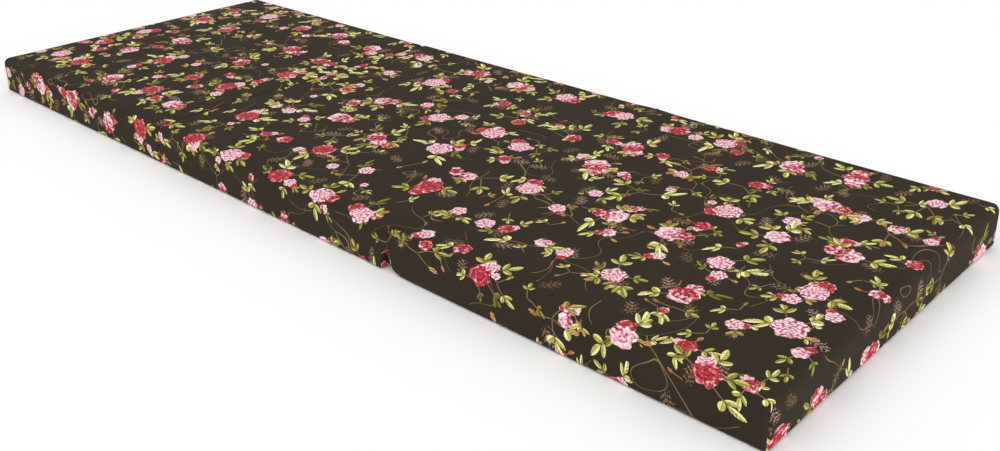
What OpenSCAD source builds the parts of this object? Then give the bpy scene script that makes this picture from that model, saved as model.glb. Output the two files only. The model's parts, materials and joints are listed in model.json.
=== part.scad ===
// Tri-fold foam floor mattress in a zip-off cotton cover, lying open.
// Three foam blocks sit in three covers. The head fold is hinged along the underside, so the
// head panel folds beneath the middle one. The foot fold is hinged along the top, so the foot
// panel folds over the middle one, and the mattress closes like a letter Z.
// X runs along the length from head (-X) to foot (+X), Y runs across, and Z is up.
// The origin is the centre of the underside. The zips are on the +Y side.

/* [Mattress] */
// Length of the open mattress
mattress_length = 1905; // [1500:15:2100]
// Width across the mattress
mattress_width = 686; // [500:2:1000]
// Thickness of a covered panel
mattress_thickness = 76; // [60:1:120]

/* [Cover] */
// Thickness of the cotton twill
cloth = 0.8; // [0.6:0.1:1.2]
// Rounding of the top edges
top_round = 15; // [8:1:20]
// Rounding of the bottom edges
bottom_round = 7; // [5:1:12]
// Space between the foam and the inside of the cloth
foam_clearance = 0.2; // [0.1:0.1:1]

/* [Folds] */
// Gap between neighbouring covers at a fold's hinge
fold_gap = 1.2; // [0.8:0.2:3]
// Rounding of the edges that meet at a hinge
hinge_round = 1.5; // [1.2:0.1:3]
// Rounding of the open top edges at the head fold
head_fold_round = 6; // [3:1:15]
// How far those edges lean back from the fold
head_fold_lean = 1; // [0:0.5:10]
// Rounding of the open bottom edges at the foot fold
foot_fold_round = 16; // [6:1:20]
// How far those edges lean back from the fold
foot_fold_lean = 5; // [0:0.5:12]
// Reach of the hinge cloth to each side of a fold line
hinge_cloth_reach = 20; // [10:1:30]

/* [Zip] */
// Length of the coil
zip_length = 560; // [300:10:600]
// Width of one woven tape
tape_width = 13; // [10:1:16]
// Thickness of the tapes
tape_thickness = 0.6; // [0.4:0.1:0.8]
// Diameter of one half of the coil
coil_diameter = 2.4; // [1.8:0.1:3]
// Gap between the two halves, which the slider's post runs in
coil_gap = 1.6; // [1.4:0.1:2]
// Length of the slider
slider_length = 11; // [9:0.5:14]
// Width of the slider
slider_width = 9; // [8.8:0.1:10]
// Thickness of the slider's plates
slider_plate = 1.2; // [1:0.1:1.5]
// Length of the pull
pull_length = 25; // [18:1:32]
// Width of the pull
pull_width = 6; // [5:0.5:7]
// Thickness of the pull
pull_thickness = 1.2; // [1:0.1:1.6]

/* [Hidden] */
$fn = 32;

cover_color = "#2f2a29";
foam_color = "#e9dfc0";
tape_color = "#26221f";
coil_color = "#1c1a19";
metal_color = "#8f8a84";

// How far a cut runs past the face that it opens
overcut = 1;
// Running clearance between the slider and what it slides on
slider_clearance = 0.3;

// Fold lines, and the panels between them
fold_x = mattress_length / 6;
half_length = mattress_length / 2;
half_width = mattress_width / 2;

// A panel's end: [rounding of its top edge, lean of its top edge,
//                 rounding of its bottom edge, lean of its bottom edge, is its hinge underneath]
OUTER_END = [top_round, 0, bottom_round, 0, false];
HEAD_FOLD_END = [head_fold_round, head_fold_lean, hinge_round, 0, true];
FOOT_FOLD_END = [hinge_round, 0, foot_fold_round, foot_fold_lean, false];

// A panel: [x of its low end, x of its high end, shape of its low end, shape of its high end]
HEAD = [-half_length, -fold_x - fold_gap / 2, OUTER_END, HEAD_FOLD_END];
MIDDLE = [-fold_x + fold_gap / 2, fold_x - fold_gap / 2, HEAD_FOLD_END, FOOT_FOLD_END];
FOOT = [fold_x + fold_gap / 2, half_length, FOOT_FOLD_END, OUTER_END];

function panel_centre(panel) = (panel[0] + panel[1]) / 2;

// How much of a rounded bottom edge the bottom cloth reaches under
base_tuck = 3;
// How far in from a panel's long sides its bottom cloth ends
base_inset = bottom_round - base_tuck;
// Space left at each side of the cloth that crosses a fold
fold_cloth_clearance = 0.2;

// Heights and depths at the zip, which sits just inside a slot in the rear wall of a cover
zip_z = mattress_thickness / 2;
tape_back_y = half_width - cloth - tape_thickness;
tape_front_y = half_width - cloth;
coil_contact = 0.05;
coil_y = tape_front_y + coil_contact + coil_diameter / 2;
coil_z = (coil_gap + coil_diameter) / 2;
coil_half_width = coil_gap / 2 + coil_diameter;
flange_thickness = slider_width / 2 - coil_half_width - slider_clearance;
inner_plate_y = tape_back_y - slider_clearance - slider_plate;
outer_plate_y = coil_y + coil_diameter / 2 + slider_clearance;
slot_half_height = slider_width / 2 + 0.7;
stop_length = 3;
slot_half_length = zip_length / 2 + stop_length + 1;
foam_groove_y = inner_plate_y - 0.6;
foam_groove_half_height = coil_gap / 2 + tape_width + 1.5;
foam_groove_half_length = slot_half_length + 9;

// The pull's pivot on the slider's outer plate
pin_radius = 0.7;
pin_clearance = 0.08;
eye_radius = 1.7;
eye_half_width = 1.7;
lug_thickness = 0.9;
lug_length = 3;
lug_clearance = 0.2;
pull_neck = 3.2;
pivot_y = outer_plate_y + slider_plate + eye_radius + 0.2;

// x of a slider's middle when its zip is closed
function slider_x(panel) =
    panel_centre(panel) + zip_length / 2 - slider_clearance - slider_length / 2;

// One corner of a panel, where a long edge of radius long_round meets an end edge of radius
// end_round. shrink moves its surface inwards, towards the foam.
module corner(x, outward, side, up, lean, end_round, long_round, shrink) {
    height = max(end_round, long_round);
    y = side * (half_width - long_round);
    z = up > 0 ? mattress_thickness - height : height;
    translate([x - outward * (lean + end_round), y, z])
        if (end_round >= long_round)
            scale([end_round - shrink, long_round - shrink, end_round - shrink])
                rounded_disc(1, 1);
        else
            rotate([0, 90, 0])
                rounded_disc(long_round - shrink, end_round - shrink);
}

// A disc on the Z axis with a rounded rim, or a ball when its rim is as large as its radius.
// Its facets reach its full radius along every axis, so that flat faces come out flat.
module rounded_disc(r, rim) {
    rotate_extrude()
        intersection() {
            translate([r - rim, 0]) circle(r = rim);
            translate([0, -rim]) square([r, 2 * rim]);
        }
}

module panel_end(x, outward, shape, shrink) {
    for (side = [-1, 1]) {
        corner(x, outward, side, 1, shape[1], shape[0], top_round, shrink);
        corner(x, outward, side, -1, shape[3], shape[2], bottom_round, shrink);
    }
}

// The outer form of a covered panel, made smaller all over by shrink
module panel_form(panel, shrink) {
    hull() {
        panel_end(panel[0], -1, panel[2], shrink);
        panel_end(panel[1], 1, panel[3], shrink);
    }
}

// A box between two corners
module box(low, high) {
    translate(low) cube(high - low);
}

// The foam block, pressed in a little along the zip
module foam(panel) {
    x = panel_centre(panel);
    color(foam_color)
        difference() {
            panel_form(panel, cloth + foam_clearance);
            box(
                [x - foam_groove_half_length, foam_groove_y, zip_z - foam_groove_half_height],
                [x + foam_groove_half_length, half_width + overcut,
                    zip_z + foam_groove_half_height]
            );
        }
}

// Top and four sides of a cover, sewn up at the corners, with a slot for the zip
module cover(panel) {
    x = panel_centre(panel);
    color(cover_color)
        difference() {
            panel_form(panel, 0);
            panel_form(panel, cloth);
            box(
                [panel[0] - overcut, -half_width - overcut, -overcut],
                [panel[1] + overcut, half_width + overcut, cloth]
            );
            box(
                [x - slot_half_length, half_width - cloth - overcut, zip_z - slot_half_height],
                [x + slot_half_length, half_width + overcut, zip_z + slot_half_height]
            );
            fold_cloth_space();
        }
}

// Room in the tops of two covers for the cloth that joins them
module fold_cloth_space() {
    reach = hinge_cloth_reach + fold_cloth_clearance;
    side = half_width - top_round + fold_cloth_clearance;
    box(
        [fold_x - reach, -side, mattress_thickness - cloth],
        [fold_x + reach, side, mattress_thickness + overcut]
    );
}

// The bottom cloth of a panel, which stops short where the head fold's cloth takes over
module base_cloth(panel) {
    low = base_end(panel[0], -1, panel[2]);
    high = base_end(panel[1], 1, panel[3]);
    side = half_width - base_inset;
    color(cover_color)
        box([low, -side, 0], [high, side, cloth]);
}

// Where the bottom cloth ends, at an end of a panel of the given shape
function base_end(x, outward, shape) =
    shape[4] ? -fold_x - outward * (hinge_cloth_reach + fold_cloth_clearance)
        : x - outward * (shape[3] + shape[2] - base_tuck);

// Cloth that joins the head and middle covers along the underside
module head_fold_cloth() {
    side = half_width - base_inset;
    color(cover_color)
        box(
            [-fold_x - hinge_cloth_reach, -side, 0],
            [-fold_x + hinge_cloth_reach, side, cloth]
        );
}

// Cloth that joins the middle and foot covers along the top
module foot_fold_cloth() {
    side = half_width - top_round;
    color(cover_color)
        box(
            [fold_x - hinge_cloth_reach, -side, mattress_thickness - cloth],
            [fold_x + hinge_cloth_reach, side, mattress_thickness]
        );
}

// Two woven tapes, one above and one below the coil
module zip_tapes(panel) {
    x = panel_centre(panel);
    half = slot_half_length + 8;
    color(tape_color)
        for (up = [0, 1])
            mirror_z(up)
                box(
                    [x - half, tape_back_y, zip_z + coil_gap / 2],
                    [x + half, tape_front_y, zip_z + coil_gap / 2 + tape_width]
                );
}

// Mirrors about the middle of the zip when on is 1
module mirror_z(on) {
    translate([0, 0, zip_z])
        mirror([0, 0, on])
            translate([0, 0, -zip_z])
                children();
}

// The two halves of the nylon coil
module zip_coil(panel) {
    color(coil_color)
        for (side = [-1, 1])
            translate([panel_centre(panel), coil_y, zip_z + side * coil_z])
                rotate([0, 90, 0])
                    cylinder(h = zip_length, d = coil_diameter, center = true);
}

// A stop clamped over the tapes at each end of the coil
module zip_stops(panel) {
    x = panel_centre(panel);
    color(metal_color)
        for (side = [-1, 1])
            translate([x + side * (zip_length + stop_length) / 2, coil_y, zip_z])
                cube([stop_length - 0.2, coil_diameter, 2 * coil_half_width], center = true);
}

// The slider: two plates joined by a post, flanges round the coil, and lugs for the pull
module zip_slider(panel) {
    half_x = slider_length / 2;
    half_z = slider_width / 2;
    post_half_z = coil_gap / 2 - 0.15;
    lug_z = eye_half_width + lug_clearance;
    plate_top = outer_plate_y + slider_plate;
    color(metal_color)
        translate([slider_x(panel), 0, zip_z]) {
            box([-half_x, inner_plate_y, -half_z], [half_x, inner_plate_y + slider_plate, half_z]);
            box([-half_x, outer_plate_y, -half_z], [half_x, plate_top, half_z]);
            box(
                [half_x - 2.4, inner_plate_y + 0.2, -post_half_z],
                [half_x, outer_plate_y + 0.2, post_half_z]
            );
            for (up = [0, 1])
                mirror([0, 0, up]) {
                    box(
                        [-half_x, tape_front_y + slider_clearance, half_z - flange_thickness],
                        [half_x, outer_plate_y + 0.2, half_z]
                    );
                    box(
                        [-lug_length / 2, plate_top - 0.2, lug_z],
                        [lug_length / 2, pivot_y + 1.2, lug_z + lug_thickness]
                    );
                }
            translate([0, pivot_y, 0])
                cylinder(h = 2 * lug_z + lug_thickness, r = pin_radius, center = true);
        }
}

// The pull, lying back along the closed coil
module zip_pull(panel) {
    tip_x = -pull_length + pull_width / 2;
    shoulder_x = -pull_neck;
    color(metal_color)
        translate([slider_x(panel), pivot_y, zip_z])
            difference() {
                union() {
                    cylinder(h = 2 * eye_half_width, r = eye_radius, center = true);
                    translate([0, pull_thickness / 2, 0])
                        rotate([90, 0, 0])
                            linear_extrude(height = pull_thickness)
                                pull_outline(tip_x, shoulder_x);
                }
                cylinder(h = 3 * eye_half_width, r = pin_radius + pin_clearance, center = true);
            }
}

module pull_outline(tip_x, shoulder_x) {
    difference() {
        union() {
            translate([tip_x, -pull_width / 2]) square([shoulder_x - tip_x, pull_width]);
            translate([tip_x, 0]) circle(d = pull_width);
            translate([shoulder_x - 1, -eye_half_width + 0.2])
                square([-shoulder_x, 2 * eye_half_width - 0.4]);
        }
        translate([tip_x, 0]) circle(d = pull_width * 0.45);
    }
}

foam(HEAD);  // head_foam
foam(MIDDLE);  // middle_foam
foam(FOOT);  // foot_foam
cover(HEAD);  // head_cover
cover(MIDDLE);  // middle_cover
cover(FOOT);  // foot_cover
base_cloth(HEAD);  // head_base_cloth
base_cloth(MIDDLE);  // middle_base_cloth
base_cloth(FOOT);  // foot_base_cloth
head_fold_cloth();
foot_fold_cloth();
zip_tapes(HEAD);  // head_zip_tapes
zip_tapes(MIDDLE);  // middle_zip_tapes
zip_tapes(FOOT);  // foot_zip_tapes
zip_coil(HEAD);  // head_zip_coil
zip_coil(MIDDLE);  // middle_zip_coil
zip_coil(FOOT);  // foot_zip_coil
zip_stops(HEAD);  // head_zip_stops
zip_stops(MIDDLE);  // middle_zip_stops
zip_stops(FOOT);  // foot_zip_stops
zip_slider(HEAD);  // head_zip_slider
zip_slider(MIDDLE);  // middle_zip_slider
zip_slider(FOOT);  // foot_zip_slider
zip_pull(HEAD);  // head_zip_pull
zip_pull(MIDDLE);  // middle_zip_pull
zip_pull(FOOT);  // foot_zip_pull
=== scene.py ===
"""Looks of a tri-fold foam mattress in a printed cotton cover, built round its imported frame."""

import json
import math
from collections import namedtuple

import bmesh
import bpy
import numpy as np
from mathutils import Matrix, Vector, noise


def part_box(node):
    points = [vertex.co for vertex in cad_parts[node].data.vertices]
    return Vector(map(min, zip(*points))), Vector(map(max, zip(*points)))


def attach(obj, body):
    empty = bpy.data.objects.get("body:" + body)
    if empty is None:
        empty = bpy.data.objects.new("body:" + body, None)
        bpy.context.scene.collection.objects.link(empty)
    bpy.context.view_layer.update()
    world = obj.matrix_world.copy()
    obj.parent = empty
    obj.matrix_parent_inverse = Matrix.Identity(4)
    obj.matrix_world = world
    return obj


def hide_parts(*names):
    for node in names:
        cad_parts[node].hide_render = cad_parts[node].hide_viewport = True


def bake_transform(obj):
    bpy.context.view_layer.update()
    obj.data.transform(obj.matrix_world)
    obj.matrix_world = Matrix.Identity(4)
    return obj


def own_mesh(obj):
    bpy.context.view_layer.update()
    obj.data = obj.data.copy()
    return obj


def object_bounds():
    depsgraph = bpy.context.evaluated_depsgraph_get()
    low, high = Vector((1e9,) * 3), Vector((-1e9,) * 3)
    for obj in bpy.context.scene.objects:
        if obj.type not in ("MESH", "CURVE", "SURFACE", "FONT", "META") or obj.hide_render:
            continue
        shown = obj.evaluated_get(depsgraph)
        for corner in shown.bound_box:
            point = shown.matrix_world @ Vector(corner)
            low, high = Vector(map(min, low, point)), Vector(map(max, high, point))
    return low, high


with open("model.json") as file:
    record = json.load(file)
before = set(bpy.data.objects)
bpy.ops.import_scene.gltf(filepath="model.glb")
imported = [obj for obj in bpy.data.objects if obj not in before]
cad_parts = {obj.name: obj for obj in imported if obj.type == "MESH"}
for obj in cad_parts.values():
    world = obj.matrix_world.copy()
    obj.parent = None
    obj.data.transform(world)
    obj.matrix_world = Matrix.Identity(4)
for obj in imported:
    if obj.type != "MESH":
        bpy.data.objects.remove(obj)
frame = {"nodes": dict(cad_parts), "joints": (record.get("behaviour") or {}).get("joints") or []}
CAD_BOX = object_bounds()

MM = 0.001
PANELS = ("head", "middle", "foot")


# ---- sizes from the frame

def corners(node):
    """A node's lowest and highest corners, as two vectors."""
    low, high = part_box(node)
    return Vector(low), Vector(high)


JOINTS = {joint["name"]: joint for joint in frame["joints"]}
HEAD_FOLD = Vector(JOINTS["head_fold"]["pos_m"])
FOOT_FOLD = Vector(JOINTS["foot_fold"]["pos_m"])
COVER = {name: corners(f"{name}_cover") for name in PANELS}
THICKNESS = COVER["middle"][1].z
HALF_WIDTH = COVER["middle"][1].y
FOLD_REACH = corners("foot_fold_cloth")[1].x - FOOT_FOLD.x
TOP_ROUND = HALF_WIDTH - corners("foot_fold_cloth")[1].y
BOTTOM_ROUND = 7 * MM
SLOT_HALF_HEIGHT = 5.2 * MM
SLOT_SEAM = 8.2 * MM
SLOT_HALF_LENGTH = {
    name: (corners(f"{name}_zip_stops")[1].x - corners(f"{name}_zip_stops")[0].x) / 2 + 1 * MM
    for name in PANELS
}


# ---- shader arithmetic

class Num:
    """A number at each point of a surface: a shader socket that sums can be written with."""

    def __init__(self, tree, source):
        self.tree = tree
        self.source = source

    def __add__(self, other):
        return number(self.tree, "ADD", self, other)

    def __radd__(self, other):
        return number(self.tree, "ADD", other, self)

    def __sub__(self, other):
        return number(self.tree, "SUBTRACT", self, other)

    def __rsub__(self, other):
        return number(self.tree, "SUBTRACT", other, self)

    def __mul__(self, other):
        return number(self.tree, "MULTIPLY", self, other)

    def __truediv__(self, other):
        return number(self.tree, "DIVIDE", self, other)

    def __abs__(self):
        return number(self.tree, "ABSOLUTE", self)


def feed(tree, socket, value):
    """Links a value into a socket, or sets it there if it is the same all over."""
    if isinstance(value, Num):
        tree.links.new(value.source, socket)
    elif isinstance(value, bpy.types.NodeSocket):
        tree.links.new(value, socket)
    else:
        socket.default_value = value


def number(tree, operation, *values):
    """The result of a Math node."""
    node = tree.nodes.new("ShaderNodeMath")
    node.operation = operation
    for socket, value in zip(node.inputs, values):
        feed(tree, socket, value)
    return Num(tree, node.outputs[0])


def sin(value):
    return number(value.tree, "SINE", value)


def fraction(value):
    return number(value.tree, "FRACT", value)


def above(value, limit):
    return number(value.tree, "GREATER_THAN", value, limit)


def greatest(a, b):
    return number(a.tree, "MAXIMUM", a, b)


def power(value, exponent):
    return number(value.tree, "POWER", value, exponent)


def smooth(value, low, high):
    """0 at low and under, 1 at high and over, with a soft step between."""
    node = value.tree.nodes.new("ShaderNodeMapRange")
    node.interpolation_type = "SMOOTHSTEP"
    feed(value.tree, node.inputs["Value"], value)
    feed(value.tree, node.inputs["From Min"], low)
    feed(value.tree, node.inputs["From Max"], high)
    return Num(value.tree, node.outputs["Result"])


def vector(tree, x, y, z=0.0):
    """The socket of a vector made of three values."""
    node = tree.nodes.new("ShaderNodeCombineXYZ")
    for socket, value in zip(node.inputs, (x, y, z)):
        feed(tree, socket, value)
    return node.outputs[0]


def split(tree, source):
    """The three values in a vector or a colour."""
    node = tree.nodes.new("ShaderNodeSeparateXYZ")
    tree.links.new(source, node.inputs[0])
    return [Num(tree, out) for out in node.outputs]


def turn(x, y, angle):
    """The point (x, y) turned about the origin by an angle in radians."""
    tree = x.tree
    node = tree.nodes.new("ShaderNodeVectorRotate")
    node.rotation_type = "Z_AXIS"
    tree.links.new(vector(tree, x, y), node.inputs["Vector"])
    feed(tree, node.inputs["Angle"], angle)
    return split(tree, node.outputs[0])[:2]


# Sockets of a Mix node for colours. Their names repeat, so they go by number.
MIX_SHARE, MIX_A, MIX_B, MIX_RESULT = 0, 6, 7, 2


def mix(tree, share, a, b, blend="MIX"):
    """Colour a where share is 0, and b where it is 1."""
    node = tree.nodes.new("ShaderNodeMix")
    node.data_type = "RGBA"
    node.blend_type = blend
    feed(tree, node.inputs[MIX_SHARE], share)
    feed(tree, node.inputs[MIX_A], a)
    feed(tree, node.inputs[MIX_B], b)
    return node.outputs[MIX_RESULT]


def ramp(tree, share, stops):
    """A colour from a row of (place, colour) stops."""
    node = tree.nodes.new("ShaderNodeValToRGB")
    feed(tree, node.inputs[0], share)
    elements = node.color_ramp.elements
    for place, _ in stops[1:-1]:
        elements.new(place)
    for element, (place, colour) in zip(elements, stops):
        element.position = place
        element.color = colour
    return node.outputs[0]


def noise_at(tree, where, scale, detail=1.0, dimensions="3D"):
    """Smooth noise, mostly near 0.5."""
    node = tree.nodes.new("ShaderNodeTexNoise")
    node.noise_dimensions = dimensions
    tree.links.new(where, node.inputs["Vector"])
    node.inputs["Scale"].default_value = scale
    node.inputs["Detail"].default_value = detail
    return Num(tree, node.outputs["Fac"])


def cells(tree, where, randomness, feature="F1"):
    """Flat cells, about 1 across, whose middles are shifted at random."""
    node = tree.nodes.new("ShaderNodeTexVoronoi")
    node.voronoi_dimensions = "2D"
    node.feature = feature
    tree.links.new(where, node.inputs["Vector"])
    node.inputs["Scale"].default_value = 1.0
    node.inputs["Randomness"].default_value = randomness
    return node


def solid_cells(tree, where, scale):
    """Cells in space, scale of them to a unit."""
    node = tree.nodes.new("ShaderNodeTexVoronoi")
    tree.links.new(where, node.inputs["Vector"])
    node.inputs["Scale"].default_value = scale
    return node


def rgb(r, g, b):
    """A colour given as 0 to 255 on screen, as the linear colour that shaders take."""
    return tuple(
        (c / 255 / 12.92) if c <= 10.31475 else ((c / 255 + 0.055) / 1.055) ** 2.4
        for c in (r, g, b)
    ) + (1.0,)


# ---- the floral print

# Sizes in the print are in millimetres, and shades run from 0 to 1.

GROUND = rgb(46, 39, 31)
FADED_GROUND = rgb(54, 46, 37)
STEM = rgb(134, 112, 76)
CRIMSON = [
    (0.0, rgb(108, 26, 38)), (0.35, rgb(162, 44, 56)), (0.7, rgb(192, 72, 80)),
    (0.88, rgb(222, 130, 134)), (1.0, rgb(242, 200, 196)),
]
PINK = [
    (0.0, rgb(150, 50, 84)), (0.25, rgb(208, 126, 148)), (0.5, rgb(236, 196, 204)),
    (1.0, rgb(254, 244, 240)),
]
LEAF = [
    (0.0, rgb(66, 61, 24)), (0.3, rgb(116, 108, 44)), (0.55, rgb(184, 177, 84)),
    (0.8, rgb(230, 226, 142)), (1.0, rgb(248, 244, 198)),
]
BUD = [(0.0, rgb(126, 44, 40)), (0.5, rgb(196, 90, 68)), (1.0, rgb(240, 184, 150))]
TWIG = [(0.0, rgb(112, 90, 46)), (0.45, rgb(144, 112, 74)), (1.0, rgb(198, 162, 150))]


class Design:
    """The flowers as they are built up, one over another, from the ground cloth."""

    def __init__(self, tree, x, y):
        self.tree = tree
        self.x = x
        self.y = y
        self.grain = self.noise(0.16, detail=2.0)
        self.fade = self.noise(0.008, detail=3.0)
        self.colour = mix(tree, self.fade, GROUND, FADED_GROUND)

    def noise(self, scale, detail):
        return noise_at(self.tree, vector(self.tree, self.x, self.y), scale, detail, "2D")

    def lay(self, mask, colour):
        """Puts a colour over the design where the mask is 1."""
        self.colour = mix(self.tree, mask, self.colour, colour)


def leaf(x, y, length, half_width, tone, grain):
    """A pointed leaf from the origin along +X: its mask and its shade."""
    fullness = 0.7
    notch_rate, notch_depth = 34.0, 0.05
    vein_rate, vein_slant, vein_depth = 30.0, 1.3, 0.22
    rib_depth, lit_half, grain_depth, darkest = 0.3, 0.3, 0.45, 0.06

    along = x / length
    across = abs(y)
    notches = sin(along * notch_rate) * notch_depth + 1.0
    bulge = power(along * (1.0 - along) * 4.0, fullness) * half_width * notches
    mask = smooth(bulge - across, 0.0, 0.5)
    veins = smooth(sin(along * vein_rate - across * vein_slant), 0.5, 0.95) * vein_depth
    rib = smooth(across, 0.1, 0.9) * rib_depth
    lit = smooth(y, -0.5, 0.5) * lit_half
    shade = (rib + lit - veins + grain * grain_depth + darkest) * tone
    return mask, shade


def scattered(design, cell_size, randomness, shift=0.0):
    """One place in each cell, turned at random: x and y from it, and three random numbers."""
    tree = design.tree
    cell_x = design.x / cell_size + shift
    cell_y = design.y / cell_size + shift * 2.3
    place = cells(tree, vector(tree, cell_x, cell_y), randomness)
    px, py, _ = split(tree, place.outputs["Position"])
    chances = split(tree, place.outputs["Color"])
    x, y = turn((cell_x - px) * cell_size, (cell_y - py) * cell_size, chances[0] * math.tau)
    return x, y, chances


def polar(x, y):
    """A point's distance and bearing from the origin."""
    return number(x.tree, "SQRT", x * x + y * y), number(x.tree, "ARCTAN2", y, x)


def spray(design, shift, cell_size, bloom_size, stems, presence, reach):
    """Up to two blooms in each cell, and curved stems round them that end in leaves or buds."""
    tree = design.tree
    x, y, (r1, r2, r3) = scattered(design, cell_size, 0.42, shift)
    away, bearing = polar(x, y)

    # Each cell is cut into sectors, and each sector has one curved stem of its own.
    step = math.tau / stems
    sector = number(tree, "ROUND", bearing / step)
    chance = tree.nodes.new("ShaderNodeTexWhiteNoise")
    chance.noise_dimensions = "3D"
    tree.links.new(vector(tree, r1 * 31.0, r2 * 17.0, sector), chance.inputs["Vector"])
    c1, c2, c3 = split(tree, chance.outputs["Color"])
    angle = bearing - sector * step - (c1 - 0.5) * (step * 0.4)
    sx = away * number(tree, "COSINE", angle)
    sy = away * sin(angle)
    sy = sy - (c2 - 0.5) * (0.9 / reach) * sx * sx
    end = c3 * (reach * 0.36) + reach * 0.5
    grown = above(c1 + c2 * 0.35, 1.0 - presence)
    half_width = 0.85
    stem = smooth(half_width - abs(sy), -0.2, 0.35) * smooth(end + 1.0 - sx, 0.0, 1.0) * grown
    design.lay(stem * smooth(sx, 0.0, 2.0), STEM)

    # A pair of leaves before the end of a stem, mirrored, and one leaf or a bud at its end.
    with_pair = above(c3, 0.2)
    with_end_leaf = above(c3, 0.3)
    pair_angle = 0.95
    length = c2 * (reach * 0.13) + reach * 0.39
    tone = c2 * 0.7 + 0.42
    side_x, side_y = turn(sx - end + reach * 0.12, abs(sy) - 0.6, -pair_angle)
    side_mask, side_shade = leaf(side_x, side_y, length * 0.8, length * 0.19, tone, design.grain)
    design.lay(side_mask * grown * with_pair, ramp(tree, side_shade, LEAF))
    front_mask, front_shade = leaf(sx - end, sy, length, length * 0.22, tone * 1.1, design.grain)
    design.lay(front_mask * grown * with_end_leaf, ramp(tree, front_shade, LEAF))
    bud_length, bud_half_width = reach * 0.15, reach * 0.09
    bx = (sx - end) / bud_length - 0.8
    by = sy / bud_half_width
    ragged = sin(by * 9.0 + bx * 3.0) * 0.25 + sin(bx * 8.0 - by * 4.0) * 0.2
    bud = smooth(1.0 - bx * bx - by * by + ragged, 0.0, 0.35) * grown * (1.0 - with_end_leaf)
    bud_shade = design.grain * 0.9 + bx * 0.3 + ragged * 0.6
    sepals = smooth(abs(by) * 0.8 - bx * 0.8 + ragged * 2.4, 0.3, 0.8)
    design.lay(bud, mix(tree, sepals, ramp(tree, bud_shade, BUD), ramp(tree, tone * 0.6, LEAF)))
    if bloom_size:
        bloom(design, x + bloom_size * 1.1, y, bloom_size * 0.66, fraction(r2 * 7.3), 1.0 - r3)
        bloom(design, x, y, bloom_size, r2, r3)


def bloom(design, x, y, size, r2, r3):
    """A rose seen from above: its petals wind outwards, or stand close in many small ones."""
    tree = design.tree
    away, bearing = polar(x, y)
    present = above(r2, 0.25)
    radius = r2 * (size * 0.35) + size * 0.8
    out = away / radius
    wobble = sin(bearing * 5.0 + r3 * 9.0) * 0.06 + sin(bearing * 8.0 + r2 * 20.0) * 0.05
    petal_edge = design.grain * 1.6 + sin(bearing * 3.0 + out * 7.0) * 0.12
    winding = fraction(bearing / math.tau + power(out, 0.75) * 2.6 + petal_edge)
    from_middle = cells(tree, vector(tree, x * 0.26, y * 0.2), 1.0).outputs["Distance"]
    many = 1.05 - Num(tree, from_middle) * 1.4
    close_set = above(r3, 0.72)
    loose = winding * 0.7 + smooth(design.grain, 0.36, 0.66) * 0.4
    shade = loose * (1.0 - close_set) + many * close_set
    shade = shade * (out * 0.35 + 0.7)
    pale = smooth(r3 + x / radius * 0.3 + (design.grain - 0.5) * 0.9, 0.34, 0.64)
    petals = mix(tree, pale, ramp(tree, shade, CRIMSON), ramp(tree, shade, PINK))
    design.lay(smooth(1.0 + wobble - out, 0.0, 0.05) * present, petals)


def sprigs(design, cell_size):
    """Ragged little twigs of greyish seed heads, in about half of their cells."""
    tree = design.tree
    x, y, (_, r2, r3) = scattered(design, cell_size, 0.8)
    present = above(r3, 0.45)
    bend = 0.016
    half_length_squared, half_width_squared = 260.0, 90.0
    pitch = 8.0

    bow = y - x * x * bend
    extent = 1.0 - x * x / half_length_squared - bow * bow / half_width_squared
    twig = smooth(0.5 - abs(bow), -0.2, 0.3) * smooth(extent, 0.0, 0.1)
    from_side = abs(fraction((x - abs(bow) * 0.8) / pitch) - 0.5) * pitch
    side_twigs = smooth(0.4 - from_side, -0.2, 0.3) * smooth(extent, 0.0, 0.1)
    seeds = cells(tree, vector(tree, x * 0.42, bow * 0.42), 1.0)
    seed_tone, _, _ = split(tree, seeds.outputs["Color"])
    heads = smooth(Num(tree, seeds.outputs["Distance"]), 0.46, 0.3)
    heads = heads * smooth(extent + (seed_tone - 0.5) * 1.2, 0.1, 0.2) * smooth(from_side, 2.7, 1.5)
    twigs = greatest(twig, side_twigs) * 0.6
    design.lay(greatest(heads, twigs) * present, ramp(tree, seed_tone * 0.45 + r2 * 0.6, TWIG))


def vines(design, cell_size):
    """Thin trailing stems that run between the sprays, along the edges of wandering cells."""
    tree = design.tree
    drift = (design.noise(0.014, detail=0.0) - 0.5) * 1.2
    where = vector(tree, design.x / cell_size + drift, design.y / cell_size - drift)
    from_edge = Num(tree, cells(tree, where, 0.8, "DISTANCE_TO_EDGE").outputs["Distance"])
    kept = smooth(design.noise(0.011, detail=0.0), 0.47, 0.5)
    design.lay(smooth(from_edge * cell_size, 1.0, 0.4) * kept, STEM)


def twill(tree, x, y):
    """The height of a twill weave: fine diagonal ribs, a little uneven."""
    rib_rate, rib_height = 4.6, 0.5
    thread_rate, thread_height = 9.0, 0.2
    ribs = sin((x + y) * rib_rate) * rib_height
    threads = sin((x - y) * thread_rate) * thread_height
    slub = noise_at(tree, vector(tree, x * 0.25, y * 2.0), 0.5, 2.0, "2D")
    return ribs + threads + slub


def bare_material(name):
    """A new material, its node tree and its shader."""
    material = bpy.data.materials.new(name)
    material.use_nodes = True
    tree = material.node_tree
    return material, tree, tree.nodes["Principled BSDF"]


def relief(tree, shader, height, strength, depth_mm):
    """Small bumps on the surface, from a height at each point."""
    bump = tree.nodes.new("ShaderNodeBump")
    bump.inputs["Strength"].default_value = strength
    bump.inputs["Distance"].default_value = depth_mm * MM
    feed(tree, bump.inputs["Height"], height)
    tree.links.new(bump.outputs[0], shader.inputs["Normal"])


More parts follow.
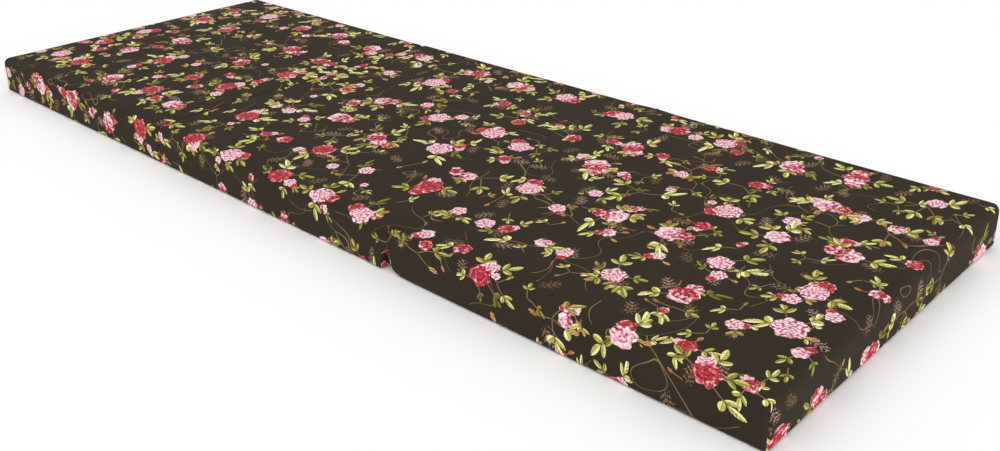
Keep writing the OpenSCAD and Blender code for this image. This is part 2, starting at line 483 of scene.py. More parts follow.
def printed_twill():
    """Printed cotton twill. It reads the cloth's own measure, in metres, from the UV map."""
    material, tree, shader = bare_material("printed_twill")
    measure = tree.nodes.new("ShaderNodeUVMap")
    measure.uv_map = "cloth"
    x, y, _ = split(tree, measure.outputs[0])
    x = x / MM
    y = y / MM
    design = Design(tree, x, y)
    sprigs(design, cell_size=62.0)
    vines(design, cell_size=120.0)
    spray(design, shift=9.3, cell_size=84.0, bloom_size=0.0, stems=3, presence=0.21, reach=29.0)
    spray(design, shift=5.5, cell_size=96.0, bloom_size=12.0, stems=4, presence=0.33, reach=36.0)
    spray(design, shift=0.0, cell_size=122.0, bloom_size=20.5, stems=5, presence=0.42, reach=50.0)
    height = twill(tree, x, y)
    # The weave's height darkens the print in its grooves and lightens it on its ribs: painted shade
    # and painted highlight.
    light = smooth(height, -0.6, 1.5) * 0.44 + 0.76
    colour = mix(tree, 1.0, design.colour, vector(tree, light, light, light), "MULTIPLY")
    tree.links.new(colour, shader.inputs["Base Color"])
    rough = design.fade * 0.1 + 0.8
    feed(tree, shader.inputs["Roughness"], rough)
    shader.inputs["Sheen Weight"].default_value = 0.02
    shader.inputs["Sheen Roughness"].default_value = 0.5
    shader.inputs["Specular IOR Level"].default_value = 0.05
    relief(tree, shader, height, strength=0.6, depth_mm=0.15)
    return material


TWILL = printed_twill()


# ---- other materials

def place_mm(tree):
    """Where a point is on the object, in millimetres."""
    where = tree.nodes.new("ShaderNodeTexCoord").outputs["Object"]
    return [axis * 1000.0 for axis in split(tree, where)]


def finish_with(tree, shader, share, stops, rough_low, rough_high):
    """Colour and roughness that vary with share."""
    tree.links.new(ramp(tree, share, stops), shader.inputs["Base Color"])
    rough = share * (rough_high - rough_low) + rough_low
    feed(tree, shader.inputs["Roughness"], rough)


def foam_material():
    """Cream foam with open pores about a millimetre across, with painted shade in the pores'
    hollows, and yellowed in patches.
    """
    material, tree, shader = bare_material("open_cell_foam")
    here = vector(tree, *place_mm(tree))
    pores = Num(tree, solid_cells(tree, here, 0.9).outputs["Distance"])
    drift = noise_at(tree, here, 0.02, detail=3.0)
    # The pores' hollows are painted darker as shade; the drift is real yellowing.
    share = pores * 0.6 + drift * 0.5
    stops = [(0.0, rgb(196, 178, 128)), (0.35, rgb(226, 212, 170)), (1.0, rgb(240, 231, 202))]
    finish_with(tree, shader, share, stops, rough_low=0.85, rough_high=0.98)
    relief(tree, shader, pores, strength=0.8, depth_mm=0.5)
    shader.inputs["Specular IOR Level"].default_value = 0.2
    return material


def tape_material():
    """Woven herringbone tape, dark, with each rib's ridge painted slightly paler as a highlight and
    its grooves painted darker as shade.
    """
    material, tree, shader = bare_material("zip_tape_weave")
    x, y, z = place_mm(tree)
    zigzag_width, rib_rate, thread_rate = 4.0, 6.5, 14.0
    zigzag = abs(fraction(z / zigzag_width) - 0.5) * zigzag_width
    ribs = sin((x + zigzag) * rib_rate) * 0.5 + 0.5
    threads = sin(z * thread_rate) * 0.5 + 0.5
    wear = noise_at(tree, vector(tree, x, y, z), 0.12, detail=3.0)
    height = ribs * 0.7 + threads * 0.3
    stops = [(0.0, rgb(20, 18, 17)), (0.6, rgb(40, 36, 33)), (1.0, rgb(66, 60, 55))]
    # Colour follows the weave's height as painted highlight on the ridges and painted shade in the
    # grooves, mixed with real wear.
    finish_with(tree, shader, height * 0.6 + wear * 0.4, stops, rough_low=0.7, rough_high=0.9)
    relief(tree, shader, height, strength=0.5, depth_mm=0.12)
    return material


def coil_material():
    """Dark nylon, smooth, and rubbed paler in places."""
    material, tree, shader = bare_material("zip_nylon")
    here = vector(tree, *place_mm(tree))
    wear = noise_at(tree, here, 0.4, detail=3.0)
    fine = noise_at(tree, here, 3.0, detail=2.0)
    stops = [(0.0, rgb(18, 16, 15)), (0.6, rgb(34, 31, 29)), (1.0, rgb(58, 53, 49))]
    finish_with(tree, shader, wear * 0.7 + fine * 0.3, stops, rough_low=0.25, rough_high=0.5)
    relief(tree, shader, fine, strength=0.2, depth_mm=0.05)
    return material


def metal_material():
    """Brushed nickel with fine scratches along its length, and duller patches from handling."""
    material, tree, shader = bare_material("zip_nickel")
    x, y, z = place_mm(tree)
    brushed = noise_at(tree, vector(tree, x * 0.3, y * 6.0, z * 6.0), 1.2, detail=3.0)
    dull = noise_at(tree, vector(tree, x, y, z), 0.35, detail=3.0)
    share = brushed * 0.5 + dull * 0.5
    stops = [(0.0, rgb(108, 104, 98)), (0.5, rgb(168, 164, 157)), (1.0, rgb(206, 203, 197))]
    finish_with(tree, shader, share, stops, rough_low=0.22, rough_high=0.5)
    relief(tree, shader, brushed, strength=0.25, depth_mm=0.04)
    shader.inputs["Metallic"].default_value = 1.0
    return material


def thread_material():
    """Dark sewing thread with a fine twist, its strands painted paler as highlights and darker
    between them as painted shade.
    """
    material, tree, shader = bare_material("sewing_thread")
    x, y, z = place_mm(tree)
    twist_rate = 7.0
    twist = sin((x + y + z) * twist_rate) * 0.5 + 0.5
    fuzz = noise_at(tree, vector(tree, x, y, z), 1.5, detail=2.0)
    stops = [(0.0, rgb(26, 23, 21)), (0.6, rgb(52, 46, 42)), (1.0, rgb(86, 78, 70))]
    # The twist's ridges are painted paler as highlight and its grooves darker as shade; the fuzz is
    # real unevenness.
    finish_with(tree, shader, twist * 0.6 + fuzz * 0.4, stops, rough_low=0.6, rough_high=0.8)
    relief(tree, shader, twist, strength=0.5, depth_mm=0.08)
    return material


FOAM = foam_material()
TAPE = tape_material()
COIL = coil_material()
METAL = metal_material()
THREAD = thread_material()


# ---- mesh helpers

def spread(fixed, loose, spacing):
    """Grid lines at all fixed marks, at loose ones that are clear of them, and evenly between."""
    clearance = 1.1 * MM
    kept = sorted(
        fixed + [mark for mark in loose if min(abs(mark - other) for other in fixed) > clearance]
    )
    lines = []
    for a, b in zip(kept, kept[1:]):
        count = max(1, math.ceil((b - a) / spacing - 0.25))
        lines.extend(np.linspace(a, b, count + 1)[:-1])
    return [*lines, kept[-1]]


def new_object(name, points, faces, uvs=None, material=None):
    """A smooth mesh. uvs has one pair for each corner of each face, in order."""
    mesh = bpy.data.meshes.new(name)
    mesh.from_pydata([tuple(p) for p in points], [], [tuple(f) for f in faces])
    if uvs is not None:
        layer = mesh.uv_layers.new(name="cloth")
        layer.data.foreach_set("uv", np.asarray(uvs, dtype=float).ravel())
    piece = bpy.data.objects.new(name, mesh)
    bpy.context.scene.collection.objects.link(piece)
    mesh.polygons.foreach_set("use_smooth", [True] * len(mesh.polygons))
    if material:
        mesh.materials.append(material)
    return piece


def box_faces(ni, nj, nk):
    """The faces of a box's surface as a grid: the side and the ring of grid places, for each."""
    for i in range(ni):
        for j in range(nj):
            yield "top", [(i, j, nk), (i + 1, j, nk), (i + 1, j + 1, nk), (i, j + 1, nk)]
            yield "under", [(i, j, 0), (i, j + 1, 0), (i + 1, j + 1, 0), (i + 1, j, 0)]
        for k in range(nk):
            yield "near", [(i, 0, k), (i + 1, 0, k), (i + 1, 0, k + 1), (i, 0, k + 1)]
            yield "far", [(i, nj, k), (i, nj, k + 1), (i + 1, nj, k + 1), (i + 1, nj, k)]
    for j in range(nj):
        for k in range(nk):
            yield "low", [(0, j, k), (0, j, k + 1), (0, j + 1, k + 1), (0, j + 1, k)]
            yield "high", [(ni, j, k), (ni, j + 1, k), (ni, j + 1, k + 1), (ni, j, k + 1)]


def box_grid(xs, ys, zs):
    """Points of a box's surface, its faces, and the side that each face is on."""
    index, faces, sides = {}, [], []
    for side, ring in box_faces(len(xs) - 1, len(ys) - 1, len(zs) - 1):
        faces.append([index.setdefault(place, len(index)) for place in ring])
        sides.append(side)
    points = np.array([(xs[i], ys[j], zs[k]) for i, j, k in index])
    return points, faces, sides


def soft_step(value, low, high):
    """0 at low and before it, 1 at high and past it, with a soft step between."""
    share = np.clip((value - low) / (high - low), 0.0, 1.0)
    return share * share * (3.0 - 2.0 * share)


# ---- the form of a panel

# A panel's end: how far its top and bottom edges are rounded along X and along Z, the same along
# Z at its corners, how far it leans back at the bottom, and which side has a hinge cloth.
End = namedtuple("End", "top_x top_z bottom_x bottom_z corner_top corner_bottom lean fold")
OUTER = End(13 * MM, TOP_ROUND, 9 * MM, BOTTOM_ROUND, TOP_ROUND, BOTTOM_ROUND, 0.0, "")
AT_HEAD_FOLD = End(
    7 * MM, 7 * MM, 1.5 * MM, 1.5 * MM, corner_top=13 * MM, corner_bottom=BOTTOM_ROUND,
    lean=0.0, fold="under",
)
MIDDLE_AT_FOOT_FOLD = End(
    1.5 * MM, 1.5 * MM, 5 * MM, 5 * MM, corner_top=TOP_ROUND, corner_bottom=5 * MM,
    lean=19 * MM, fold="top",
)
FOOT_AT_FOOT_FOLD = End(
    1.5 * MM, 1.5 * MM, 20 * MM, 11 * MM, corner_top=TOP_ROUND, corner_bottom=11 * MM,
    lean=2 * MM, fold="top",
)
ENDS = {
    "head": (OUTER, AT_HEAD_FOLD),
    "middle": (AT_HEAD_FOLD, MIDDLE_AT_FOOT_FOLD),
    "foot": (FOOT_AT_FOOT_FOLD, OUTER),
}
END_REACH = 60 * MM  # how far from an end its own edges and lean are felt
CORNER_REACH = 28 * MM  # how far from a long side a corner's rounding is felt
FOLD_CLEARANCE = 0.3 * MM
LIFT = 0.5 * MM  # how far the underside is above the floor
LEAN_FROM, LEAN_TO = 0.66 * THICKNESS, 0.3 * THICKNESS  # an end leans back between these heights


def form(points, low, high, ends):
    """Moves points of a box's surface onto a panel's form, which is rounded all round."""
    x, y, z = points.T
    near = (
        1.0 - soft_step(x, low[0], low[0] + END_REACH),
        soft_step(x, high[0] - END_REACH, high[0]),
    )
    up = soft_step(z, low[2], high[2])
    side_span = BOTTOM_ROUND + (TOP_ROUND - BOTTOM_ROUND) * up
    up_at_fold = soft_step(z, low[2], low[2] + 0.35 * THICKNESS)
    from_side = np.minimum(y - low[1], high[1] - y)
    to_corner = soft_step(from_side, CORNER_REACH, 0.0)
    past_hinge = soft_step(from_side, BOTTOM_ROUND, 0.0)
    x_spans = [
        end.bottom_x
        + (end.top_x - end.bottom_x) * (up_at_fold * (1.0 + to_corner) if end.fold else up)
        for end in ends
    ]
    top_span = np.full(len(points), TOP_ROUND)
    bottom_span = np.full(len(points), BOTTOM_ROUND)
    for n, end in zip(near, ends):
        at_corner = past_hinge if end.fold == "top" else to_corner
        top_span += n * (end.top_z + (end.corner_top - end.top_z) * at_corner - TOP_ROUND)
        bottom_span += n * (
            end.bottom_z + (end.corner_bottom - end.bottom_z) * past_hinge - BOTTOM_ROUND
        )
    spans = ((x_spans[0], x_spans[1]), (side_span, side_span), (bottom_span, top_span))
    inner, share, span = [], [], []
    for axis, (low_span, high_span) in enumerate(spans):
        value = points[:, axis]
        middle = np.clip(value, low[axis] + low_span, high[axis] - high_span)
        reach = np.where(value < middle, low_span, high_span)
        inner.append(middle)
        span.append(reach)
        share.append((value - middle) / reach)
    share = np.array(share)
    share /= np.maximum(np.linalg.norm(share, axis=0), 1e-9)
    result = (np.array(inner) + np.array(span) * share).T
    leaning = 1.0 - soft_step(z, LEAN_TO, LEAN_FROM)
    result[:, 0] += (near[0] * ends[0].lean - near[1] * ends[1].lean) * leaning
    return result


def panel_range(name, inset):
    """The lowest and highest corners of a panel's form, drawn in by inset except at a fold."""
    low, high = (np.array(c) for c in COVER[name])
    low[1] += inset
    high -= (0.0, inset, inset)
    low[2] = LIFT
    low_end, high_end = ENDS[name]
    fold_low = {"middle": HEAD_FOLD.x, "foot": FOOT_FOLD.x}.get(name)
    fold_high = {"head": HEAD_FOLD.x, "middle": FOOT_FOLD.x}.get(name)
    low[0] = fold_low + FOLD_CLEARANCE if low_end.fold else low[0] + inset
    high[0] = fold_high - FOLD_CLEARANCE if high_end.fold else high[0] - inset
    return low, high


# ---- the covers

SWELL = 2.2 * MM  # the most that blowing up moves a cover
STAND_OUT = SWELL * 0.75  # a cover's form is drawn in by this, and pushed out by it along the zip
FOLD_EDGE = 3 * MM  # nearer to a fold than this, a panel's faces give way to the fold's own rows
SEAM_DEPTH = 1.6 * MM
CORNER_SEAM_DEPTH = 1.05 * MM
HEAD_CUT_AT = (0.052, 0.038)  # the print's shift on the head panel, in metres
BASE_CUT_AT = (0.31, 0.17)  # and on the bottom cloths
NEAR_EDGE = (1.2 * MM, 3.4 * MM, 7 * MM, 12 * MM, 18 * MM)  # extra grid lines' distances from it
KEPT, TOP_STRIP, UNDER_STRIP, BASE, OPEN = range(5)
LAST_FRAME = 20


def swelling(piece, held):
    """How each point of a closed cloth form moves when it is blown up. Held points don't."""
    group = piece.vertex_groups.new(name="held")
    for index, weight in enumerate(held):
        group.add([index], float(weight), "REPLACE")
    swell = piece.modifiers.new("swell", "CLOTH")
    settings = swell.settings
    settings.quality = 3
    settings.mass = 0.3
    settings.tension_stiffness = 25
    settings.compression_stiffness = 25
    settings.shear_stiffness = 8
    settings.bending_stiffness = 0.3
    settings.use_pressure = True
    settings.uniform_pressure_force = 4
    settings.vertex_group_mass = group.name
    settings.effector_weights.gravity = 0
    swell.collision_settings.use_collision = False
    swell.collision_settings.use_self_collision = False
    swell.point_cache.frame_start = 1
    swell.point_cache.frame_end = LAST_FRAME
    before = vertex_places(piece.data)
    for frame_number in range(1, LAST_FRAME + 1):
        bpy.context.scene.frame_set(frame_number)
    depsgraph = bpy.context.evaluated_depsgraph_get()
    moved = vertex_places(piece.evaluated_get(depsgraph).data) - before
    piece.modifiers.remove(swell)
    piece.vertex_groups.remove(group)
    bpy.context.scene.frame_set(1)
    return moved


def vertex_places(mesh, what="co"):
    """The place of each of a mesh's points, or its normal there."""
    places = np.empty(len(mesh.vertices) * 3)
    mesh.vertices.foreach_get(what, places)
    return places.reshape(-1, 3)


def panel_centre(name):
    """Where the middle of a panel's length is along X."""
    return (COVER[name][0].x + COVER[name][1].x) / 2


def ripples(points, size, seed):
    """Smooth noise from -1 to 1 at each point, with waves about size metres long."""
    shift = Vector((seed, seed * 1.7, -seed))
    return np.array([noise.noise(Vector(p) / size + shift) for p in points])


def panel_lines(name, low, high):
    """The grid lines of a panel's cover along X, Y and Z."""
    centre, half_slot = panel_centre(name), SLOT_HALF_LENGTH[name]
    xs = [low[0], high[0], centre - half_slot, centre + half_slot]
    xs += [low[0] + ENDS[name][0].bottom_x, high[0] - ENDS[name][1].bottom_x]
    for fold_x in (HEAD_FOLD.x, FOOT_FOLD.x):
        # The line just past FOLD_REACH keeps the seam there in place when the mesh is smoothed.
        for mark in (FOLD_EDGE, FOLD_REACH, FOLD_REACH + 3 * MM):
            xs += [x for x in (fold_x - mark, fold_x + mark) if low[0] < x < high[0]]
    ys = [low[1], high[1]]
    ys += [side * (HALF_WIDTH - inset) for side in (-1, 1) for inset in (BOTTOM_ROUND, TOP_ROUND)]
    zs = [low[2], high[2]]
    zs += [THICKNESS / 2 + side * d for side in (-1, 1) for d in (SLOT_HALF_HEIGHT, SLOT_SEAM)]
    lines = []
    for axis, (fixed, spacing) in enumerate(((xs, 14 * MM), (ys, 14 * MM), (zs, 10 * MM))):
        lines.append(spread(sorted(set(fixed)), near_edges(low[axis], high[axis]), spacing))
    return lines


def near_edges(low, high):
    """Marks close to both ends of a side, where its edges are rounded."""
    return [low + d for d in NEAR_EDGE] + [high - d for d in NEAR_EDGE]


def part_of(name, side, middle, low, high):
    """Which piece of cloth a face belongs to, from its side and the middle of its grid cell."""
    x, y, z = middle
    low_end, high_end = ENDS[name]
    from_fold = {"top": abs(x - FOOT_FOLD.x), "under": abs(x - HEAD_FOLD.x)}.get(side, math.inf)
    across = HALF_WIDTH - (TOP_ROUND if side == "top" else BOTTOM_ROUND)
    if side == "far" and abs(x - panel_centre(name)) < SLOT_HALF_LENGTH[name]:
        return OPEN if abs(z - THICKNESS / 2) < SLOT_HALF_HEIGHT else KEPT
    if from_fold < FOLD_REACH and abs(y) < across:
        if from_fold < FOLD_EDGE:
            return OPEN
        return TOP_STRIP if side == "top" else UNDER_STRIP
    inside = low[0] + low_end.bottom_x < x < high[0] - high_end.bottom_x
    return BASE if side == "under" and inside and abs(y) < across else KEPT


def cloth_measure(points, faces, sides, low, high):
    """Where the cloth of each face's corners was cut, in metres."""
    uvs = []
    for face, side in zip(faces, sides):
        for x, y, z in points[face]:
            drop = high[2] - z
            uvs.append({
                "top": (x, y),
                "under": (x, y),
                "near": (x, low[1] - drop),
                "far": (x, high[1] + drop),
                "low": (low[0] - drop, y),
                "high": (high[0] + drop, y),
            }[side])
    return uvs


def covered_panel(name):
    """A whole panel in cloth: filled out, creased and smoothed, with its pieces still in one."""
    low, high = panel_range(name, STAND_OUT)
    flat, faces, sides = box_grid(*panel_lines(name, low, high))
    points = form(flat, low, high, ENDS[name])
    piece = new_object(name, points, faces, cloth_measure(flat, faces, sides, low, high))
    mesh = piece.data
    for _ in (KEPT, TOP_STRIP, UNDER_STRIP, BASE, OPEN):
        mesh.materials.append(None)
    parts = [
        part_of(name, side, flat[face].mean(axis=0), low, high) for face, side in zip(faces, sides)
    ]
    mesh.polygons.foreach_set("material_index", parts)

    x, y, z = flat.T
    under = soft_step(z, low[2] + 14 * MM, low[2])
    from_slot = np.hypot(
        np.maximum(abs(x - panel_centre(name)) - SLOT_HALF_LENGTH[name], 0.0),
        np.maximum(abs(z - THICKNESS / 2) - SLOT_HALF_HEIGHT, 0.0),
    ) + (high[1] - y)
    at_slot = soft_step(from_slot, 22 * MM, 6 * MM)
    normals = vertex_places(mesh, "normal")
    moved = swelling(piece, z < low[2] + 0.1 * MM)
    swell = capped(moved) * (1.0 - under)[:, None]
    for end, from_end in zip(ENDS[name], (x - low[0], high[0] - x)):
        if end.fold:
            swell[:, 0] *= soft_step(from_end, 0.0, 40 * MM)
    swell = swell * (1.0 - at_slot)[:, None] + at_slot[:, None] * (0.0, STAND_OUT, 0.0)

    wave = ripples(points, 0.16, 3.0) * 0.5 + ripples(points, 0.055, 8.0) * 0.22
    edge = np.minimum.reduce([x - low[0], high[0] - x, y - low[1], high[1] - y])
    calm = (1.0 - under) * (1.0 - at_slot)
    strength = (0.45 + 0.75 * soft_step(edge, 0.12, 0.0)) * MM
    points = points + swell + normals * (wave * strength * calm)[:, None]
    points[:, 2] = np.clip(points[:, 2], LIFT, THICKNESS)
    sink_seams(name, points, flat, low, high)
    mesh.vertices.foreach_set("co", points.ravel())
    mesh.update()
    return smoothed(piece)


def capped(moved):
    """Moves in the same directions, none of them longer than SWELL."""
    distance = np.linalg.norm(moved, axis=1, keepdims=True)
    return moved / np.maximum(distance, 1e-9) * np.tanh(distance / (6 * MM)) * SWELL


def sink_seams(name, points, flat, low, high):
    """Draws in the sewn corners, and the seam round the bottom cloth."""
    x, y, z = flat.T
    low_end, high_end = ENDS[name]
    at_corner = (np.isclose(x, low[0]) | np.isclose(x, high[0])) & (
        np.isclose(y, low[1]) | np.isclose(y, high[1])
    )
    depth = CORNER_SEAM_DEPTH * soft_step(z, 0.0, 10 * MM) * soft_step(z, high[2], high[2] - 9 * MM)
    away = np.sign(flat[:, :2] - (low[:2] + high[:2]) / 2)
    points[:, :2] -= away * (depth * at_corner)[:, None]

    seam_low, seam_high = low[0] + low_end.bottom_x, high[0] - high_end.bottom_x
    if low_end.fold == "under":
        seam_low = HEAD_FOLD.x + FOLD_REACH
    if high_end.fold == "under":
        seam_high = HEAD_FOLD.x - FOLD_REACH
    across = HALF_WIDTH - BOTTOM_ROUND
    on_end = (np.isclose(x, seam_low) | np.isclose(x, seam_high)) & (abs(y) < across + 0.1 * MM)
    on_side = np.isclose(abs(y), across) & (x > seam_low - 0.1 * MM) & (x < seam_high + 0.1 * MM)
    points[:, 2] += SEAM_DEPTH * (np.isclose(z, low[2]) & (on_end | on_side))


def smoothed(piece):
    """One step of subdivision, applied."""
    piece.modifiers.new("smooth", "SUBSURF").levels = 1
    depsgraph = bpy.context.evaluated_depsgraph_get()
    mesh = bpy.data.meshes.new_from_object(piece.evaluated_get(depsgraph))
    bpy.data.objects.remove(piece)
    return mesh


def patch(mesh, part):
    """The points, faces and cloth measures of one part of a panel's mesh, which is all quads."""
    count = len(mesh.polygons)
    parts = np.empty(count, dtype=int)
    mesh.polygons.foreach_get("material_index", parts)
    rings = np.empty(count * 4, dtype=int)
    mesh.loops.foreach_get("vertex_index", rings)
    measure = np.empty(count * 8)
    mesh.uv_layers["cloth"].data.foreach_get("uv", measure)
    used, faces = np.unique(rings.reshape(-1, 4)[parts == part], return_inverse=True)
    uvs = measure.reshape(-1, 4, 2)[parts == part].reshape(-1, 2)
    return vertex_places(mesh)[used], faces.reshape(-1, 4), uvs


def fold_row(points, faces, uvs, fold_x):
    """The row of a patch's points that is nearest to the fold, and the cloth measure of each."""
    away = abs(points[:, 0] - fold_x)
    row = np.flatnonzero(away < away.min() + 0.5 * MM)
    row = row[np.argsort(points[row, 1])]
    measure = np.empty((len(points), 2))
    measure[faces.ravel()] = uvs
    return points[row], measure[row]


# Where the fine rows across a fold lie, as percentages of the way from one strip to the other.
ROWS_AT_FOLD = (0, 12, 24, 32, 38, 44, 50, 56, 62, 68, 76, 88, 100)


def fold_cloth(name, before, after, fold):
    """The cloth that crosses a fold: a strip from each panel, and fine rows between them."""
    (a, a_measure), (b, b_measure) = fold_row(*before, fold.x), fold_row(*after, fold.x)
    count = len(a)
    shares = np.array(ROWS_AT_FOLD)[:, None, None] / 100
    between = (a * (1 - shares) + b * shares).reshape(-1, 3)
    between_measure = (a_measure * (1 - shares) + b_measure * shares).reshape(-1, 2)
    corner = np.arange((len(shares) - 1) * count).reshape(-1, count)[:, :-1].ravel()
    rings = np.stack([corner, corner + count, corner + count + 1, corner + 1], axis=1)
    if fold.z < THICKNESS / 2:
        rings = rings[:, ::-1]
    points = np.concatenate([before[0], after[0], between])
    faces = np.concatenate(
        [before[1], after[1] + len(before[0]), rings + len(before[0]) + len(after[0])]
    )
    uvs = np.concatenate([before[2], after[2], between_measure[rings].reshape(-1, 2)])
    piece = new_object(name, points, faces.tolist(), uvs, TWILL)
    build = bmesh.new()
    build.from_mesh(piece.data)
    bmesh.ops.remove_doubles(build, verts=build.verts, dist=0.02 * MM)
    build.to_mesh(piece.data)
    build.free()
    return piece


PANEL_MESH = {name: covered_panel(name) for name in PANELS}

for panel in PANELS:
    body = f"{panel}_panel"
    points, faces, uvs = patch(PANEL_MESH[panel], KEPT)
    cut_at = HEAD_CUT_AT if panel == "head" else (0.0, 0.0)
    cover = new_object(f"{panel}_cover_cloth", points, faces, uvs + cut_at, TWILL)
    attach(cover, body)
    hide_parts(f"{panel}_cover")
    points, faces, uvs = patch(PANEL_MESH[panel], BASE)
    base = new_object(f"{panel}_bottom_cloth", points, faces, uvs + BASE_CUT_AT, TWILL)
    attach(base, body)
    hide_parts(f"{panel}_base_cloth")

for fold_name, fold, before, after, part in (
    ("head_fold", HEAD_FOLD, "head", "middle", UNDER_STRIP),
    ("foot_fold", FOOT_FOLD, "middle", "foot", TOP_STRIP),
):
    strip = fold_cloth(
        f"{fold_name}_hinge_cloth", patch(PANEL_MESH[before], part),
        patch(PANEL_MESH[after], part), fold,
    )
    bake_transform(strip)
    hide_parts(f"{fold_name}_cloth")


# ---- foam

FOAM_INSET = 5 * MM
CHANNEL_DEPTH = 3 * MM
FOAM_SPACING = (30 * MM, 30 * MM, 12 * MM)


def foam_block(name):
    """A panel's foam, drawn in from its cover, with a shallow channel behind the zip."""
    low, high = panel_range(name, FOAM_INSET)
    low = low + (2.5 * MM, 0, 3.5 * MM)
    high = high - (2.5 * MM, 3 * MM, 0)
    lines = [
        spread([a, b], near_edges(a, b), spacing) for a, b, spacing in zip(low, high, FOAM_SPACING)
    ]
    flat, faces, sides = box_grid(*lines)
    points = form(flat, low, high, ENDS[name])
    channel = soft_step(abs(flat[:, 2] - THICKNESS / 2), 20 * MM, 12 * MM)
    points[:, 1] -= channel * soft_step(high[1] - flat[:, 1], 6 * MM, 0.0) * CHANNEL_DEPTH
    points += ripples(points, 0.07, 21.0)[:, None] * 0.3 * MM
    piece = new_object(
        f"{name}_foam_block", points, faces, cloth_measure(flat, faces, sides, low, high), FOAM
    )
    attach(piece, f"{name}_panel")
    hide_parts(f"{name}_foam")


for panel in PANELS:
    foam_block(panel)


# ---- zips and stitching

# A tooth's outline: how far a ring is from the zip's middle, and its half widths along X and Y.
TOOTH_RINGS = (
    (3.3, 0.30, 0.55), (2.7, 0.42, 1.05), (1.2, 0.42, 1.15), (0.3, 0.62, 1.05),
    (-0.35, 0.6, 0.8), (-0.6, 0.3, 0.4),
)
# A stitch's outline: how far along a ring is, from 0 to 1, its height over the cloth, its radius.
STITCH_RINGS = (
    (0.0, -0.25, 0.14), (0.2, 0.08, 0.3), (0.5, 0.16, 0.33), (0.8, 0.08, 0.3), (1.0, -0.25, 0.14),
)
TOOTH_PITCH = 2 * MM
STITCH_PITCH = 3.2 * MM
STITCHES_FROM_SLOT = 3 * MM
TAPE_EDGE = 0.8 * MM  # from the zip's middle to the near edge of each tape
TAPE_STEPS = 121


def beads(name, rings_at, body, material):
    """Many small closed pieces in one mesh. rings_at holds, for each, its rings of points."""
    points, faces = [], []
    for rings in rings_at:
        count = len(rings[0])
        start = len(points)
        for ring in rings:
            points.extend(ring)
        for r in range(len(rings) - 1):
            for s in range(count):
                a, b = r * count + s, r * count + (s + 1) % count
                faces.append([start + a, start + b, start + b + count, start + a + count])
        faces.append([start + s for s in reversed(range(count))])
        last = start + (len(rings) - 1) * count
        faces.append([last + s for s in range(count)])
    piece = new_object(name, points, faces, None, material)
    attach(piece, body)
    return piece


def tooth(x, y, z, side):
    """One turn of a zip's coil: rings from its root at the tape to its rounded tip."""
    rings = []
    for reach, half_x, half_y in TOOTH_RINGS:
        height = z + side * reach * MM
        ring = [
            (x + half_x * MM * math.cos(a), y + half_y * MM * math.sin(a), height)
            for a in np.linspace(0, math.tau, 6, endpoint=False)
        ]
        rings.append(ring if side > 0 else ring[::-1])
    return rings[::-1]


def stitch(start, end, up):
    """One stitch of thread from start to end, bowed out along up, and sunk in at its ends."""
    start, end, up = Vector(start), Vector(end), Vector(up)
    along = (end - start).normalized()
    across = along.cross(up)
    rings = []
    for share, height, radius in STITCH_RINGS:
        centre = start.lerp(end, share) + up * height * MM
        rings.append([
            tuple(centre + (across * math.cos(a) + up * math.sin(a)) * radius * MM)
            for a in np.linspace(0, math.tau, 5, endpoint=False)
        ])
    return rings


def stitch_row(start, end, up):
    """Stitches along a straight row, with a short gap after each."""
    start, end = Vector(start), Vector(end)
    count = max(1, int((end - start).length / STITCH_PITCH))
    return [
        stitch(start.lerp(end, (n + 0.12) / count), start.lerp(end, (n + 0.88) / count), up)
        for n in range(count)
    ]


def zip_tape(name, side):
    """One woven tape of a zip, with a slight wave in its free edge."""
    low, high = corners(f"{name}_zip_tapes")
    middle_z = THICKNESS / 2
    inner = TAPE_EDGE
    outer = high.z - middle_z
    xs = np.linspace(low.x, high.x, TAPE_STEPS)
    depths = (inner, inner + 1.2 * MM, inner + 4 * MM, inner + 8 * MM, outer - 0.6 * MM, outer)
    points, faces, uvs = [], [], []
    for x in xs:
        for depth in depths:
            free = (depth - inner) / (outer - inner)
            wave = noise.noise(Vector((x * 22.0, side * 5.0, 0.0))) * 0.25 * MM * free
            points.append((x, (low.y + high.y) / 2 + wave, middle_z + side * depth))
    count = len(depths)
    for i in range(len(xs) - 1):
        for j in range(count - 1):
            a = i * count + j
            ring = [a, a + 1, a + count + 1, a + count][::side]
            faces.append(ring)
            uvs.extend((points[v][0], points[v][2]) for v in ring)
    upper = "upper" if side > 0 else "lower"
    piece = new_object(f"{name}_zip_tape_{upper}", points, faces, uvs, TAPE)
    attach(piece, f"{name}_panel")
    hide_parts(f"{name}_zip_tapes")


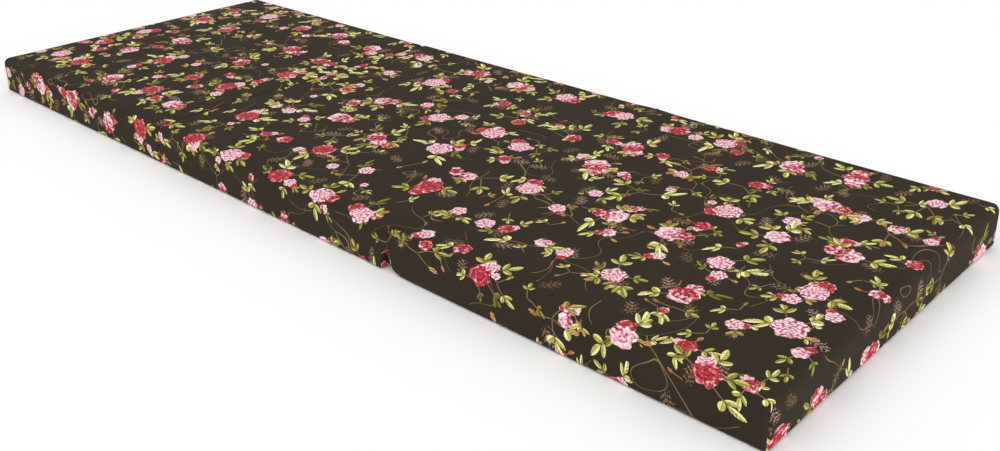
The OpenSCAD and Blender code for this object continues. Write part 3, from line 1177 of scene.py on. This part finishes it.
def zip_parts(name):
    """A panel's zip: its teeth, tapes, metal parts, and the stitches that hold it."""
    body = f"{name}_panel"
    low, high = corners(f"{name}_zip_coil")
    y = (low.y + high.y) / 2
    z = THICKNESS / 2
    count = int((high.x - low.x) / TOOTH_PITCH) - 1
    teeth = []
    for n in range(count):
        for side in (-1, 1):
            x = low.x + TOOTH_PITCH * (n + 0.6) + (TOOTH_PITCH / 2 if side > 0 else 0.0)
            teeth.append(tooth(x, y, z, side))
    coil = beads(f"{name}_zip_teeth", teeth, body, COIL)
    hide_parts(f"{name}_zip_coil")
    for side in (-1, 1):
        zip_tape(name, side)
    for node in ("stops", "slider", "pull"):
        for material_slot in frame["nodes"][f"{name}_zip_{node}"].material_slots:
            material_slot.material = METAL
    left = panel_centre(name) - SLOT_HALF_LENGTH[name] - STITCHES_FROM_SLOT
    right = panel_centre(name) + SLOT_HALF_LENGTH[name] + STITCHES_FROM_SLOT
    bottom = z - SLOT_HALF_HEIGHT - STITCHES_FROM_SLOT
    top = z + SLOT_HALF_HEIGHT + STITCHES_FROM_SLOT
    outwards = (0, 1, 0)
    seams = []
    for x, height in ((left, bottom), (right, top)):
        seams += stitch_row((left, HALF_WIDTH, height), (right, HALF_WIDTH, height), outwards)
        seams += stitch_row((x, HALF_WIDTH, bottom), (x, HALF_WIDTH, top), outwards)
    beads(f"{name}_zip_stitches", seams, body, THREAD)


for panel in PANELS:
    zip_parts(panel)


# ---- floor, light and camera

LIGHT_SPREAD = math.radians(60)
LENS_MM, SENSOR_MM = 38.2, 36.0
CAMERA_PLACE = (0.727, -0.65, 0.403)  # in lengths of the mattress, from its middle
HEADING, TILT_DOWN, ROLL = math.radians(43.15), math.radians(26.45), math.radians(-0.75)


def floor():
    """A plain pale floor."""
    mesh = bpy.data.meshes.new("floor")
    size = 40.0  # half of a side, in metres
    mesh.from_pydata(
        [(-size, -size, 0), (size, -size, 0), (size, size, 0), (-size, size, 0)], [], [(0, 1, 2, 3)]
    )
    ground = bpy.data.objects.new("floor", mesh)
    bpy.context.scene.collection.objects.link(ground)
    material, _, shader = bare_material("pale_floor")
    shader.inputs["Base Color"].default_value = (0.93, 0.93, 0.93, 1)
    shader.inputs["Roughness"].default_value = 0.9
    mesh.materials.append(material)
    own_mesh(ground)


def soft_light(name, toward, strength):
    """A wide soft light from far away, which lights the floor evenly."""
    lamp = bpy.data.lights.new(name, "SUN")
    lamp.energy = strength
    lamp.angle = LIGHT_SPREAD
    piece = bpy.data.objects.new(name, lamp)
    piece.rotation_euler = Vector(toward).to_track_quat("-Z", "Y").to_euler()
    bpy.context.scene.collection.objects.link(piece)


def camera():
    """A camera at the photo's viewing angle."""
    lens = bpy.data.cameras.new("camera")
    lens.lens = LENS_MM
    lens.sensor_width = SENSOR_MM
    lens.clip_end = 100.0
    eye = bpy.data.objects.new("camera", lens)
    length = CAD_BOX[1][0] - CAD_BOX[0][0]
    eye.location = [share * length for share in CAMERA_PLACE]
    level = math.cos(TILT_DOWN)
    aim = Vector((-math.sin(HEADING) * level, math.cos(HEADING) * level, -math.sin(TILT_DOWN)))
    turned = aim.to_track_quat("-Z", "Y").to_matrix() @ Matrix.Rotation(ROLL, 3, "Z")
    eye.rotation_euler = turned.to_euler()
    bpy.context.scene.collection.objects.link(eye)
    bpy.context.scene.camera = eye


def studio_world(strength):
    """An even white surround that fills the shadows."""
    world = bpy.data.worlds.new("studio")
    world.use_nodes = True
    background = world.node_tree.nodes["Background"]
    background.inputs["Color"].default_value = (1, 1, 1, 1)
    background.inputs["Strength"].default_value = strength
    bpy.context.scene.world = world


floor()
soft_light("key", toward=(0.4, 0.9, -1.3), strength=0.9)
soft_light("fill", toward=(-0.9, 0.35, -0.4), strength=2.2)
soft_light("back", toward=(0.4, -0.9, -1.0), strength=0.4)
camera()
studio_world(strength=0.5)
bpy.context.scene.view_settings.view_transform = "Standard"
